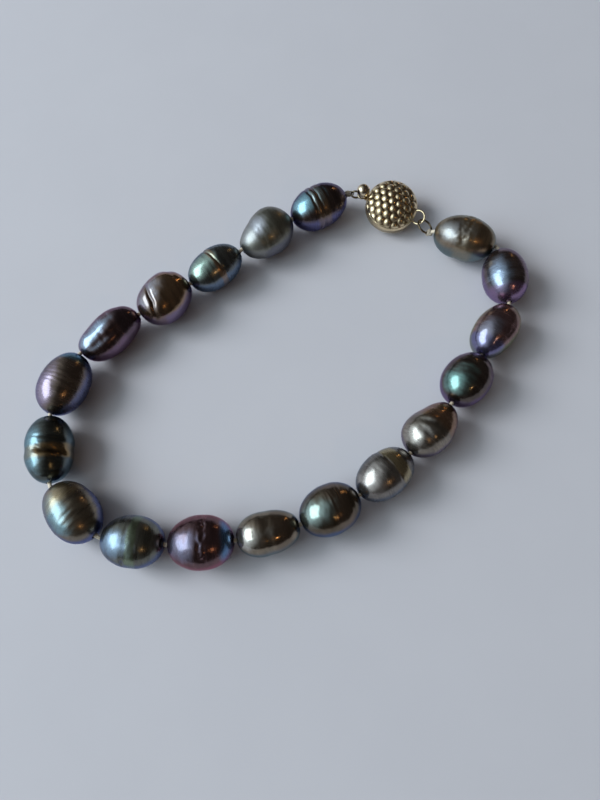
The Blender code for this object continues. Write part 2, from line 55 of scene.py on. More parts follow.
# Sizes that the solids have
PEARL_LENGTH = 9.2 * MM
PEARL_WIDTH = 7.1 * MM
BORE = 1.0 * MM
THREAD = 0.6 * MM
CASE_RADIUS = 4.2 * MM
CASE_WALL_HEIGHT = 1.6 * MM
DOME_RISE = 1.6 * MM
SHEET = 0.3 * MM
BUMP_PITCH = 1.3 * MM
SLOT_WIDTH = 3.4 * MM
SLOT_DEPTH = 1.2 * MM
SLOT_CLEARANCE = 0.12 * MM
LEAF = 0.25 * MM
TAB_WIDTH = 1.2 * MM
BALL_DIAMETER = 2.1 * MM
BALL_STAND_OFF = 0.95 * MM
BALL_RISE = 0.65 * MM
NECK_DIAMETER = 0.6 * MM
NECK_STAND_OFF = 0.5 * MM
WIRE = 0.32 * MM
CASE_RING = 2.1 * MM
CASE_RING_STAND_OFF = 0.55 * MM
CASE_RING_DROP = 0.3 * MM
TONGUE_RING = 1.2 * MM
CLASP_HEADING = math.radians(-30)
CLASP_TILT = math.radians(13)
RINGS_LEAN = math.radians(14)
RINGS_TWIST = math.radians(32)
LINK_HEADING = math.radians(-62)

# Details that only the looks have
RIM_ROUND = 0.16 * MM
RIM_ROUND_RINGS = 6
BUMP_RADIUS = 0.53 * BUMP_PITCH
BUMP_RISE = 0.28 * MM
BUMP_MARGIN = 0.25 * MM
BEAD_DEPTH = 0.05 * MM
DOME_POLE = 0.02 * MM
BORE_STEP_IN = 0.25 * MM
BORE_NARROWING = (0.94, 0.94, 1.0)
# How much of the darker hollow colour the soldered ring takes, all over
RING_DARKENING = 0.8
RING_GAP = math.radians(3.0)
RING_MISFIT = 0.02 * MM
TONGUE_ROUNDING = 0.05 * MM
TONGUE_SHARP = 35
KNOT_STAND_OFF = 0.685 * MM
KNOT_DIAMETER = 0.82 * MM
KNOT_LENGTH = 0.46 * MM
KNOT_STRAND = 0.44 * MM
NOOSE_RADIUS = 0.36 * MM
NOOSE_STRAND = 0.24 * MM
FLOOR_SIDE = 0.5
FLOOR_DROP = 0.09 * MM

# Facets
PEARL_STEPS = 128
PEARL_RINGS = 128
CASE_STEPS = 288
DOME_RINGS = 84
CAVITY_STEPS = 48
RING_STEPS = 72

# Lengths, widths and heights are shares of PEARL_LENGTH and PEARL_WIDTH, as in the solids
Pearl = namedtuple("Pearl", "length width height taper fullness skew groove_at groove_depth")
PEARLS = [
    Pearl(1.06, 0.99, 1.00, 0.02, 1.00, 0.06, 0.05, 0.03),
    Pearl(1.03, 1.02, 1.00, -0.18, 0.95, 0.16, 0.00, 0.00),
    Pearl(1.01, 0.90, 0.94, 0.03, 1.05, 0.05, 0.15, 0.03),
    Pearl(0.97, 1.07, 1.03, 0.02, 1.05, 0.14, 0.55, 0.03),
    Pearl(1.12, 0.89, 0.97, 0.02, 1.15, 0.20, 0.00, 0.00),
    Pearl(1.07, 1.02, 1.00, 0.03, 1.05, -0.05, 0.00, 0.00),
    Pearl(1.07, 0.98, 0.98, 0.00, 1.10, 0.00, 0.05, 0.06),
    Pearl(1.03, 1.02, 1.00, 0.03, 1.05, -0.08, -0.30, 0.01),
    Pearl(0.95, 1.01, 1.00, 0.02, 1.05, 0.00, 0.00, 0.03),
    Pearl(0.98, 1.05, 1.03, 0.03, 1.10, 0.00, 0.10, 0.02),
    Pearl(0.95, 0.86, 0.92, -0.08, 1.25, 0.00, 0.00, 0.02),
    Pearl(0.95, 1.00, 1.00, 0.02, 1.05, 0.00, 0.20, 0.02),
    Pearl(0.98, 0.92, 0.97, 0.00, 1.05, 0.00, 0.30, 0.03),
    Pearl(1.00, 0.93, 0.96, -0.18, 1.00, -0.12, 0.30, 0.03),
    Pearl(0.94, 1.00, 1.00, 0.00, 1.05, -0.05, 0.00, 0.00),
    Pearl(1.02, 0.88, 0.95, 0.02, 1.12, -0.15, 0.00, 0.00),
    Pearl(0.98, 0.98, 0.98, -0.04, 1.05, 0.00, 0.00, 0.02),
    Pearl(1.06, 0.98, 1.00, 0.00, 1.08, 0.00, 0.10, 0.05),
]
GROOVE_WIDTH = 0.18

# Marks on the pearls. At runs from -1 to 1 along a pearl, towards the next one. Angle is in degrees
# round its axis: 0 faces the wrist, 90 is its top and 180 faces out. Sizes are in the same units,
# and depth is a share of the radius, below 0 for a swelling. Spread 360 goes all the way round.
# Lean slants a mark along the pearl as it goes round.
Mark = namedtuple("Mark", "at angle width spread depth lean")
MARKS = {
    1: [Mark(0.26, 100, 0.04, 300, 0.035, 0.0), Mark(0.06, 95, 0.035, 280, 0.035, 0.0),
        Mark(-0.22, 90, 0.06, 220, 0.015, 0.0), Mark(0.14, 90, 0.10, 360, -0.012, 0.0)],
    2: [Mark(0.35, 90, 0.16, 200, 0.020, 0.2), Mark(-0.15, 130, 0.45, 110, -0.020, 0.0)],
    3: [Mark(-0.02, 80, 0.035, 190, 0.040, 0.25), Mark(0.15, 90, 0.18, 320, -0.016, 0.0),
        Mark(-0.20, 60, 0.10, 90, -0.020, 0.0), Mark(0.50, 95, 0.40, 130, 0.070, 0.0)],
    4: [Mark(0.52, 70, 0.075, 130, 0.085, -0.55), Mark(0.74, 60, 0.16, 110, -0.045, 0.0),
        Mark(-0.30, 150, 0.30, 90, -0.030, 0.0), Mark(-0.66, 110, 0.08, 150, 0.030, 0.3)],
    5: [Mark(0.50, 97, 0.50, 130, 0.145, 0.0), Mark(0.10, 58, 0.80, 22, 0.045, 0.0),
        Mark(0.00, 125, 0.85, 80, 0.035, 0.0), Mark(-0.62, 100, 0.10, 200, 0.025, 0.0),
        Mark(0.25, 95, 0.05, 90, 0.004, 0.0), Mark(0.40, 95, 0.05, 90, 0.004, 0.0)],
    6: [Mark(-0.10, 100, 0.03, 230, 0.006, 0.1), Mark(0.02, 90, 0.025, 210, 0.006, 0.1),
        Mark(0.14, 90, 0.03, 200, 0.005, 0.1), Mark(-0.25, 100, 0.03, 200, 0.004, 0.1)],
    7: [Mark(0.14, 78, 0.16, 120, 0.035, 0.2), Mark(0.20, 66, 0.11, 88, 0.13, -0.45),
        Mark(0.15, 180, 0.24, 190, -0.030, 0.0), Mark(-0.14, 60, 0.05, 70, 0.040, -0.4)],
    8: [Mark(-0.10, 90, 0.14, 220, 0.014, 0.15), Mark(0.18, 100, 0.06, 240, 0.006, 0.15),
        Mark(0.36, 90, 0.07, 240, 0.005, 0.1)],
    9: [Mark(0.00, 90, 0.18, 330, -0.018, 0.0), Mark(0.12, 100, 0.10, 150, -0.010, 0.2),
        Mark(0.30, 90, 0.10, 140, 0.008, 0.2), Mark(-0.12, 150, 0.04, 20, 0.050, 0.0)],
    10: [Mark(0.16, 56, 0.06, 26, 0.045, 0.1), Mark(0.10, 90, 0.18, 300, -0.014, 0.0),
         Mark(-0.25, 90, 0.30, 160, -0.015, 0.0)],
    11: [Mark(0.10, 65, 0.45, 70, 0.070, 0.0), Mark(0.80, 90, 0.10, 240, 0.030, 0.0),
         Mark(-0.55, 90, 0.35, 200, -0.020, 0.0)],
    12: [Mark(0.20, 90, 0.20, 200, -0.018, 0.0), Mark(0.62, 110, 0.07, 160, 0.014, 0.2)],
    13: [Mark(0.20, 90, 0.04, 250, 0.018, 0.0), Mark(0.30, 90, 0.18, 300, -0.016, 0.0)],
    14: [Mark(-0.05, 80, 0.13, 90, 0.035, 0.9), Mark(0.25, 110, 0.14, 90, -0.035, 0.8),
         Mark(-0.45, 110, 0.12, 110, 0.045, -0.5), Mark(0.55, 60, 0.12, 80, 0.035, 0.6)],
    15: [Mark(0.00, 100, 0.18, 160, 0.018, 0.0), Mark(0.70, 90, 0.08, 200, 0.020, 0.0)],
    16: [Mark(0.05, 130, 0.70, 24, 0.035, 0.0), Mark(0.00, 60, 0.80, 60, 0.030, 0.0),
         Mark(-0.60, 90, 0.12, 160, 0.025, 0.2)],
    17: [Mark(0.00, 55, 0.70, 60, 0.025, 0.0), Mark(0.00, 90, 0.18, 300, -0.014, 0.0),
         Mark(-0.45, 110, 0.10, 110, 0.015, 0.0)],
    18: [Mark(0.10, 110, 0.20, 220, -0.045, 0.0), Mark(-0.08, 100, 0.05, 60, 0.016, -0.5),
         Mark(0.20, 70, 0.05, 60, 0.014, 0.7)],
}

# Patches of fine wrinkles. Crumple is how much they also break up round the pearl.
Wrinkle = namedtuple("Wrinkle", "at angle width spread depth pitch crumple")
WRINKLES = {
    2: Wrinkle(0.35, 90, 0.40, 160, 0.005, 0.09, 0.8),
    6: Wrinkle(0.00, 90, 0.30, 140, 0.003, 0.07, 0.8),
    8: Wrinkle(0.20, 90, 0.45, 200, 0.004, 0.12, 0.8),
    10: Wrinkle(0.14, 88, 0.11, 100, 0.034, 0.16, 3.6),
    12: Wrinkle(0.30, 60, 0.35, 90, 0.008, 0.06, 0.8),
    14: Wrinkle(0.00, 90, 0.60, 130, 0.010, 0.30, 2.0),
    18: Wrinkle(0.05, 85, 0.24, 100, 0.024, 0.14, 3.4),
}

# How lumpy each pearl is, as a share of its radius
LUMPS = {2: 0.020, 4: 0.035, 5: 0.025, 7: 0.020, 8: 0.018, 10: 0.020, 14: 0.040, 16: 0.030, 18: 0.030}
PLAIN_LUMPS = 0.012
FINE_LUMPS = 0.004
RIDGE_GAIN = 1.6

# A mark gets painted shade when it is deeper than the first of these and narrower than the second, and
# most where it is as deep as the third
DARK_DEPTH = 0.03
DARK_WIDTH = 0.15
DARKEST_DEPTH = 0.13

# Overtones and painted light of each pearl's nacre: its body, a painted highlight on the side towards
# the key light, the rim low on its sides, partly a painted reflection of the floor, and a band across
# it, placed as a mark is. Gloss is its roughness.
Look = namedtuple("Look", "body glow rim band band_at band_width gloss")
LOOKS = [
    Look((0.110, 0.080, 0.072), (0.18, 0.32, 0.38), (0.17, 0.17, 0.38),
         (0.24, 0.17, 0.11), 0.08, 0.24, 0.24),
    Look((0.255, 0.252, 0.200), (0.31, 0.32, 0.35), (0.22, 0.22, 0.27),
         (0.31, 0.31, 0.27), 0.70, 0.30, 0.38),
    Look((0.140, 0.150, 0.145), (0.27, 0.37, 0.32), (0.20, 0.28, 0.42),
         (0.34, 0.22, 0.13), 0.00, 0.10, 0.25),
    Look((0.295, 0.195, 0.115), (0.31, 0.31, 0.35), (0.29, 0.22, 0.38),
         (0.20, 0.13, 0.09), 0.55, 0.20, 0.17),
    Look((0.145, 0.092, 0.092), (0.24, 0.31, 0.40), (0.29, 0.18, 0.29),
         (0.10, 0.07, 0.08), -0.60, 0.25, 0.23),
    Look((0.210, 0.160, 0.125), (0.26, 0.21, 0.28), (0.18, 0.20, 0.38),
         (0.12, 0.25, 0.32), -0.95, 0.3, 0.25),
    Look((0.090, 0.100, 0.090), (0.15, 0.24, 0.28), (0.17, 0.24, 0.29),
         (0.30, 0.20, 0.09), 0.17, 0.20, 0.22),
    Look((0.205, 0.172, 0.125), (0.18, 0.27, 0.30), (0.14, 0.17, 0.36),
         (0.38, 0.30, 0.18), -0.55, 0.34, 0.28),
    Look((0.165, 0.165, 0.135), (0.19, 0.26, 0.34), (0.15, 0.19, 0.34),
         (0.21, 0.26, 0.17), 0.14, 0.14, 0.28),
    Look((0.16, 0.092, 0.098), (0.155, 0.15, 0.215), (0.40, 0.15, 0.22),
         (0.10, 0.23, 0.42), 0.95, 0.3, 0.24),
    Look((0.250, 0.200, 0.145), (0.40, 0.39, 0.36), (0.15, 0.20, 0.23),
         (0.19, 0.14, 0.10), 0.45, 0.30, 0.19),
    Look((0.135, 0.102, 0.066), (0.23, 0.30, 0.28), (0.13, 0.19, 0.34),
         (0.19, 0.14, 0.10), 0.30, 0.30, 0.21),
    Look((0.215, 0.195, 0.175), (0.41, 0.38, 0.36), (0.22, 0.25, 0.31),
         (0.40, 0.33, 0.19), 0.42, 0.18, 0.26),
    Look((0.260, 0.225, 0.180), (0.40, 0.38, 0.35), (0.22, 0.19, 0.26),
         (0.30, 0.18, 0.11), 0.50, 0.40, 0.24),
    Look((0.120, 0.094, 0.078), (0.15, 0.27, 0.25), (0.26, 0.19, 0.34),
         (0.15, 0.12, 0.09), 0.70, 0.20, 0.21),
    Look((0.260, 0.155, 0.160), (0.24, 0.24, 0.30), (0.31, 0.33, 0.22),
         (0.19, 0.19, 0.39), -0.80, 0.3, 0.22),
    Look((0.165, 0.128, 0.118), (0.22, 0.28, 0.37), (0.32, 0.25, 0.42),
         (0.29, 0.18, 0.33), -0.85, 0.3, 0.24),
    Look((0.300, 0.220, 0.140), (0.27, 0.27, 0.27), (0.20, 0.27, 0.29),
         (0.33, 0.26, 0.17), 0.00, 0.30, 0.31),
]

# How the overtones come in. Each ramp is where one starts and where it is full, by the cosine to the
# key light for the painted highlight, and by the normal's height for the rim, partly a painted reflection.
PAINTED_HIGHLIGHT_RAMP = (0.72, 1.00)
RIM_RAMP = (0.46, 0.12)
RIM_LEAN = 0.10
BAND_FADE = 1.25
BAND_FULL = 0.60
BAND_UNDER_HIGHLIGHT = 0.75
BAND_OVER_HIGHLIGHT = 0.50
RIM_SHARE = 0.90
RIM_SHADE = 0.70
# The painted highlight is made lighter than its listed colour
PAINTED_HIGHLIGHT_SHADE = 1.20
BODY_DARK = 0.80
BODY_LIGHT = 1.18
# Painted shade in deep narrow marks and down the bore: its share and its colour
PAINTED_SHADE_SHARE = 0.92
PAINTED_SHADE_COLOUR = (0.022, 0.016, 0.012)
SPECKLE = 0.16
GRAZING_BASE = 0.14
GRAZING_TINT = 0.54

# How far the nacre's growth rings, clouds and grain stand up
GROWTH_BUMP = 0.0022 * MM
CLOUD_BUMP = 0.06 * MM
GRAIN_BUMP = 0.0045 * MM

# Directions: the normals that mirror the key light upwards, where the highlight is painted, the bright
# side of the world, and the side away from it, where the rims, partly painted reflection, show widest
KEY_SIDE = (-0.50, -0.18, 0.84)
BRIGHT_SIDE = (-0.93, 0.10, 0.35)
FAR_SIDE = (0.75, -0.55, 0.0)

# The lights stand in these directions from the bracelet, at these distances in metres
Light = namedtuple("Light", "name way distance size power colour in_gloss diffuse")
LIGHTS = [
    Light("window", (-0.79, 0.0, 0.61), 0.80, (0.78, 0.46), 3.8, (0.79, 0.94, 1.0), True, 1.0),
    Light("sky", (-0.80, 0.22, 0.62), 1.00, (0.42, 0.42), 5.2, (0.98, 0.97, 0.98), False, 1.0),
    Light("fill", (0.10, 0.10, 1.0), 1.10, (1.30, 1.30), 0.8, (1.0, 0.97, 0.95), False, 1.0),
    Light("lamp", (0.37, -0.65, 0.65), 0.60, (0.030, 0.030), 0.08, (1.0, 0.55, 0.22), True, 0.3),
    Light("far_lamp", (0.54, 0.80, 0.25), 0.70, (0.030, 0.030), 0.05, (1.0, 0.55, 0.22), True, 0.3),
]

# The world, as the bracelet mirrors it, and as the camera sees it past the floor
WORLD_RAMP = (0.20, 0.98)
WORLD_DARK = (0.036, 0.031, 0.029)
WORLD_BRIGHT = (0.68, 0.76, 0.82)
WORLD_SEEN = (0.46, 0.465, 0.49)

# The camera, fitted to the photograph
CAMERA_AT = Vector((1.023, -35.465, 86.538)) * MM
CAMERA_FORWARD = Vector((0.00523, 0.3235, -0.94621))
CAMERA_RIGHT = Vector((0.99537, -0.09248, -0.02612))
CAMERA_LENS = 27.05
CAMERA_SENSOR = 36.0


# Node helpers

def new_material(name):
    material = bpy.data.materials.new(name)
    material.use_nodes = True
    tree = material.node_tree
    return material, tree, tree.nodes["Principled BSDF"]


def add(tree, kind, values=None, **settings):
    """A node of this kind. values sets its inputs, or links them where the value is a socket."""
    node = tree.nodes.new(kind)
    for name, value in settings.items():
        setattr(node, name, value)
    for key, value in (values or {}).items():
        put(tree, node.inputs[key], value)
    return node


def put(tree, socket, value):
    if isinstance(value, bpy.types.NodeSocket):
        tree.links.new(value, socket)
    elif socket.type == "RGBA" and len(value) == 3:
        socket.default_value = (*value, 1.0)
    else:
        socket.default_value = value


def mix(tree, share, a, b):
    node = add(tree, "ShaderNodeMix", data_type="RGBA", blend_type="MIX")
    put(tree, node.inputs[0], share)
    put(tree, node.inputs[6], a)
    put(tree, node.inputs[7], b)
    return node.outputs[2]


def maths(tree, operation, a, b=0.0):
    node = add(tree, "ShaderNodeMath", {0: a, 1: b}, operation=operation)
    return node.outputs[0]


def ramp(tree, value, low, high, to_low=0.0, to_high=1.0, smooth=True):
    """The value carried from low..high to to_low..to_high."""
    node = add(tree, "ShaderNodeMapRange", {
        "Value": value, "From Min": low, "From Max": high, "To Min": to_low, "To Max": to_high},
        interpolation_type="SMOOTHSTEP" if smooth else "LINEAR")
    return node.outputs[0]


def noise_of(tree, vector, scale, detail=3.0, roughness=0.55):
    node = add(tree, "ShaderNodeTexNoise", {
        "Vector": vector, "Scale": scale, "Detail": detail, "Roughness": roughness})
    return node.outputs["Fac"]


def stretched(tree, vector, scale=(1.0, 1.0, 1.0), shift=(0.0, 0.0, 0.0)):
    node = add(tree, "ShaderNodeMapping", {"Vector": vector, "Scale": scale, "Location": shift})
    return node.outputs[0]


def dot(tree, vector, way):
    """How far a vector goes along a direction."""
    node = add(tree, "ShaderNodeVectorMath", {0: vector, 1: way}, operation="DOT_PRODUCT")
    return node.outputs["Value"]


def stored(tree, name, output="Fac"):
    return add(tree, "ShaderNodeAttribute", attribute_name=name).outputs[output]


def tinted(colour, shade):
    return tuple(value * shade for value in colour)


def bump(tree, height, distance, normal=None):
    values = {"Height": height, "Distance": distance, "Strength": 1.0}
    if normal is not None:
        values["Normal"] = normal
    return add(tree, "ShaderNodeBump", values).outputs[0]


# Materials

def nacre_colour(tree, look, along, streaks, drift):
    """Body, band, rim and painted highlight mixed in that order, then the band again and the painted shade
    of the hollows.
    """
    normal = add(tree, "ShaderNodeTexCoord").outputs["Normal"]
    wobble = ramp(tree, streaks, 0.3, 0.7, -0.05, 0.05, smooth=False)
    # The painted highlight: a lighter, tinted patch where the skin faces the key light
    facing = maths(tree, "ADD", dot(tree, normal, Vector(KEY_SIDE).normalized()), wobble)
    glow = ramp(tree, maths(tree, "ADD", facing, drift), *PAINTED_HIGHLIGHT_RAMP)
    height = add(tree, "ShaderNodeSeparateXYZ", {0: normal}).outputs[2]
    # The rim: an overtone on the low sides that is partly a painted reflection of the floor, widest on the
    # side away from the light
    slope = maths(tree, "SUBTRACT", height, maths(tree, "MULTIPLY", dot(tree, normal, FAR_SIDE), RIM_LEAN))
    rim = ramp(tree, maths(tree, "ADD", slope, drift), *RIM_RAMP)
    from_band = maths(tree, "ABSOLUTE", maths(tree, "SUBTRACT", along, look.band_at))
    band = ramp(tree, maths(tree, "ADD", from_band, maths(tree, "MULTIPLY", drift, 0.5)),
                look.band_width * BAND_FADE, look.band_width * BAND_FULL)

    colour = mix(tree, ramp(tree, streaks, 0.35, 0.65), tinted(look.body, BODY_DARK),
                 tinted(look.body, BODY_LIGHT))
    colour = mix(tree, maths(tree, "MULTIPLY", band, BAND_UNDER_HIGHLIGHT), colour, look.band)
    colour = mix(tree, maths(tree, "MULTIPLY", rim, RIM_SHARE), colour, tinted(look.rim, RIM_SHADE))
    # Painted highlight laid over the body, band and rim
    colour = mix(tree, glow, colour, tinted(look.glow, PAINTED_HIGHLIGHT_SHADE))
    colour = mix(tree, maths(tree, "MULTIPLY", band, BAND_OVER_HIGHLIGHT), colour, look.band)
    # Painted shade in deep narrow marks and in the bore
    hollows = maths(tree, "MULTIPLY", stored(tree, "deep"), PAINTED_SHADE_SHARE)
    return mix(tree, hollows, colour, PAINTED_SHADE_COLOUR)


def nacre_skin(tree, place, along, clouds, drift):
    """Growth rings across the pearl, clouds and grain, as one bumpy normal."""
    rings = add(tree, "ShaderNodeTexNoise", {
        "W": maths(tree, "ADD", maths(tree, "MULTIPLY", along, 16.0), drift), "Scale": 1.0, "Detail": 2.0},
        noise_dimensions="1D").outputs["Fac"]
    skin = bump(tree, rings, GROWTH_BUMP)
    skin = bump(tree, clouds, CLOUD_BUMP, skin)
    return bump(tree, noise_of(tree, place, 30.0, 3.0), GRAIN_BUMP, skin)


def pearl_material(number, look):
    """Nacre: metallic lustre whose overtone changes over the pearl, with a painted highlight and painted
    shade, under a clear glossy skin.
    """
    material, tree, shader = new_material(f"nacre_{number:02d}")
    place = stored(tree, "place", "Vector")
    along = add(tree, "ShaderNodeSeparateXYZ", {0: place}).outputs[2]
    seed = number * 3.7
    streaks = noise_of(tree, stretched(tree, place, (0.5, 0.5, 4.0), (seed, 0.0, 0.0)), 1.6, 4.0)
    clouds = noise_of(tree, stretched(tree, place, shift=(0.0, seed, 0.0)), 1.4, 3.0)
    drift = ramp(tree, clouds, 0.3, 0.7, -0.08, 0.08, smooth=False)
    colour = nacre_colour(tree, look, along, streaks, drift)
    speckle = ramp(tree, noise_of(tree, place, 42.0, 2.0), 0.35, 0.65, 1 - SPECKLE, 1 + SPECKLE,
                   smooth=False)
    speckled = add(tree, "ShaderNodeVectorMath", {0: colour, "Scale": speckle}, operation="SCALE").outputs[0]
    put(tree, shader.inputs["Base Color"], speckled)
    rough = ramp(tree, streaks, 0.3, 0.7, look.gloss - 0.04, look.gloss + 0.07, smooth=False)
    put(tree, shader.inputs["Roughness"], rough)
    put(tree, shader.inputs["Normal"], nacre_skin(tree, place, along, clouds, drift))
    grazing = [GRAZING_BASE + GRAZING_TINT * value / max(look.rim) for value in look.rim]
    shader.inputs["Specular Tint"].default_value = (*grazing, 1.0)
    shader.inputs["Metallic"].default_value = 0.95
    shader.inputs["Coat Weight"].default_value = 0.42
    shader.inputs["Coat Roughness"].default_value = 0.09
    shader.inputs["Coat IOR"].default_value = 1.5
    return material


def gold_material(name, colour, hollow_colour, roughness):
    """Pale gold plate, darker in the hollows, with fine scratches."""
    material, tree, shader = new_material(name)
    spot = add(tree, "ShaderNodeTexCoord").outputs["Object"]
    deep = stored(tree, "deep")
    clouds = noise_of(tree, spot, 420.0, 4.0)
    scratches = noise_of(tree, stretched(tree, spot, (1.0, 6.0, 1.0)), 3500.0, 2.0)
    shade = mix(tree, ramp(tree, clouds, 0.35, 0.7), colour, tinted(colour, 0.72))
    # Darker where the deep attribute is set: between the case's bumps, and on the soldered ring
    put(tree, shader.inputs["Base Color"], mix(tree, deep, shade, hollow_colour))
    dull = maths(tree, "ADD", ramp(tree, clouds, 0.3, 0.7, roughness, roughness + 0.10, smooth=False),
                 maths(tree, "MULTIPLY", deep, 0.15))
    put(tree, shader.inputs["Roughness"], dull)
    skin = bump(tree, scratches, 0.004 * MM)
    put(tree, shader.inputs["Normal"], bump(tree, clouds, 0.02 * MM, skin))
    shader.inputs["Metallic"].default_value = 1.0
    return material


def silk_material(name, shade):
    """Cream silk, soiled in patches. Shade darkens all of it: for the knots it is partly their own darker
    tan and partly painted shade.
    """
    dark, pale, soiled = (0.52, 0.44, 0.32), (0.80, 0.73, 0.60), (0.42, 0.33, 0.22)
    material, tree, shader = new_material(name)
    spot = add(tree, "ShaderNodeTexCoord").outputs["Object"]
    fibres = noise_of(tree, spot, 5200.0, 3.0)
    soil = ramp(tree, noise_of(tree, spot, 260.0, 2.0), 0.45, 0.75, 0.0, 0.5)
    colour = mix(tree, ramp(tree, fibres, 0.3, 0.7), tinted(dark, shade), tinted(pale, shade))
    put(tree, shader.inputs["Base Color"], mix(tree, soil, colour, tinted(soiled, shade)))
    put(tree, shader.inputs["Normal"], bump(tree, fibres, 0.03 * MM))
    shader.inputs["Roughness"].default_value = 0.62
    shader.inputs["Sheen Weight"].default_value = 0.35
    shader.inputs["Sheen Roughness"].default_value = 0.4
    return material


def floor_material():
    material, tree, shader = new_material("pale_floor")
    spot = add(tree, "ShaderNodeTexCoord").outputs["Object"]
    clouds = noise_of(tree, spot, 60.0, 3.0)
    colour = mix(tree, ramp(tree, clouds, 0.3, 0.7), (0.555, 0.560, 0.608), (0.565, 0.570, 0.618))
    put(tree, shader.inputs["Base Color"], colour)
    put(tree, shader.inputs["Normal"], bump(tree, noise_of(tree, spot, 2600.0, 2.0), 0.006 * MM))
    shader.inputs["Roughness"].default_value = 0.85
    shader.inputs["Specular IOR Level"].default_value = 0.2
    return material


# Mesh helpers

def new_piece(name, points, faces, material, sharp=None):
    """A mesh object of these points and faces, shaded smooth apart from edges over the sharp angle."""
    mesh = bpy.data.meshes.new(name)
    mesh.from_pydata([tuple(point) for point in points], [], faces)
    mesh.validate()
    return piece_of(name, mesh, material, sharp)


def piece_of(name, mesh, material, sharp=None):
    mesh.shade_smooth()
    if sharp is not None:
        mesh.set_sharp_from_angle(angle=math.radians(sharp))
    obj = bpy.data.objects.new(name, mesh)
    bpy.context.scene.collection.objects.link(obj)
    mesh.materials.clear()
    mesh.materials.append(material)
    return obj


def store(mesh, name, values):
    """Keeps a number or a vector for each vertex, under a name that a material reads."""
    values = np.asarray(values, np.float32)
    kind = "FLOAT" if values.ndim == 1 else "FLOAT_VECTOR"
    attribute = mesh.attributes.new(name, kind, "POINT")
    attribute.data.foreach_set("value" if values.ndim == 1 else "vector", values.reshape(-1))


def square_to(axis, hint):
    """The part of hint at right angles to axis, at length 1."""
    axis = Vector(axis).normalized()
    hint = Vector(hint)
    return (hint - axis * hint.dot(axis)).normalized()


def frame_matrix(origin, x_axis, z_axis):
    z = Vector(z_axis).normalized()
    x = square_to(z, x_axis)
    turn = Matrix((x, z.cross(x), z)).transposed().to_4x4()
    return Matrix.Translation(origin) @ turn


def grid_faces(rings, steps, closed_rings=False):
    """Quads between rings of points, each closed round its steps."""
    faces = []
    last = rings if closed_rings else rings - 1
    for ring in range(last):
        after = (ring + 1) % rings
        for step in range(steps):
            turn = (step + 1) % steps
            here, there = ring * steps, after * steps
            faces.append((here + step, here + turn, there + turn, there + step))
    return faces


def node_points(name):
    """A solid's corners, each once, and its edges as pairs of them."""
    mesh = frame["nodes"][name].data
    points = np.array([vertex.co for vertex in mesh.vertices], float)
    _, first, index = np.unique(np.round(points / (0.001 * MM)), axis=0, return_index=True,
                                return_inverse=True)
    index = index.reshape(-1)
    edges = {tuple(sorted((index[a], index[b]))) for a, b in mesh.edge_keys}
    return points[first], edges


# Pearls

def pearl_mouths(name):
    """The middles of the two mouths of a pearl's bore. Only the bore's edges run from end to end."""
    points, edges = node_points(name)
    spans = {pair: np.linalg.norm(points[pair[0]] - points[pair[1]]) for pair in edges}
    longest = max(spans.values())
    ends = sorted({i for pair, span in spans.items() if span > 0.8 * longest for i in pair})
    ends = points[ends]
    axis = ends - ends.mean(axis=0)
    direction = np.linalg.svd(axis, full_matrices=False)[2][0]
    side = axis @ direction
    return Vector(ends[side < 0].mean(axis=0)), Vector(ends[side > 0].mean(axis=0))


def all_mouths():
    """(near, far) of each pearl, near being towards the pearl before it."""
    found = [pearl_mouths(f"pearl_{i + 1:02d}") for i in range(len(PEARLS))]
    middles = [(a + b) / 2 for a, b in found]
    ordered = []
    for i, (a, b) in enumerate(found):
        towards = middles[i + 1] if i + 1 < len(found) else 2 * middles[i] - middles[i - 1]
        ordered.append((a, b) if (a - towards).length > (b - towards).length else (b, a))
    return ordered


def turned_profile(row):
    """Radius and place along a pearl for each ring of its skin, from its near mouth to its far one."""
    radius = row.width * PEARL_WIDTH / 2
    half = row.length * PEARL_LENGTH / 2
    power = 1 / row.fullness
    first = math.asin((BORE / 2 / radius) ** (1 / power))
    # Rings crowd towards the mouths, where the skin turns fastest.
    share = np.linspace(0.0, 1.0, PEARL_RINGS + 1)
    angle = first + (math.pi - 2 * first) * share
    return radius * np.sin(angle) ** power, -half * np.cos(angle) / math.cos(first), radius, half


def mark_depth(mark, along, degrees, wave):
    """How deep a mark is at each point, from 0 to 1 times its depth."""
    offset = (degrees - mark.angle + 180.0) % 360.0 - 180.0
    at = mark.at + mark.lean * np.radians(offset) / math.pi + wave * min(mark.width, 0.08) * 0.8
    across = np.exp(-((along - at) / mark.width) ** 2)
    if mark.spread >= 360:
        return across
    return across * np.exp(-np.abs(offset / (mark.spread / 2)) ** (3 if mark.spread > 70 else 2))


def noise_at(points, scale, seed):
    """Smooth noise from -1 to 1 at each point."""
    shift = Vector((seed * 7.3, seed * 3.1, seed * 5.7))
    return np.array([noise.noise(Vector(point) * scale + shift) for point in points])


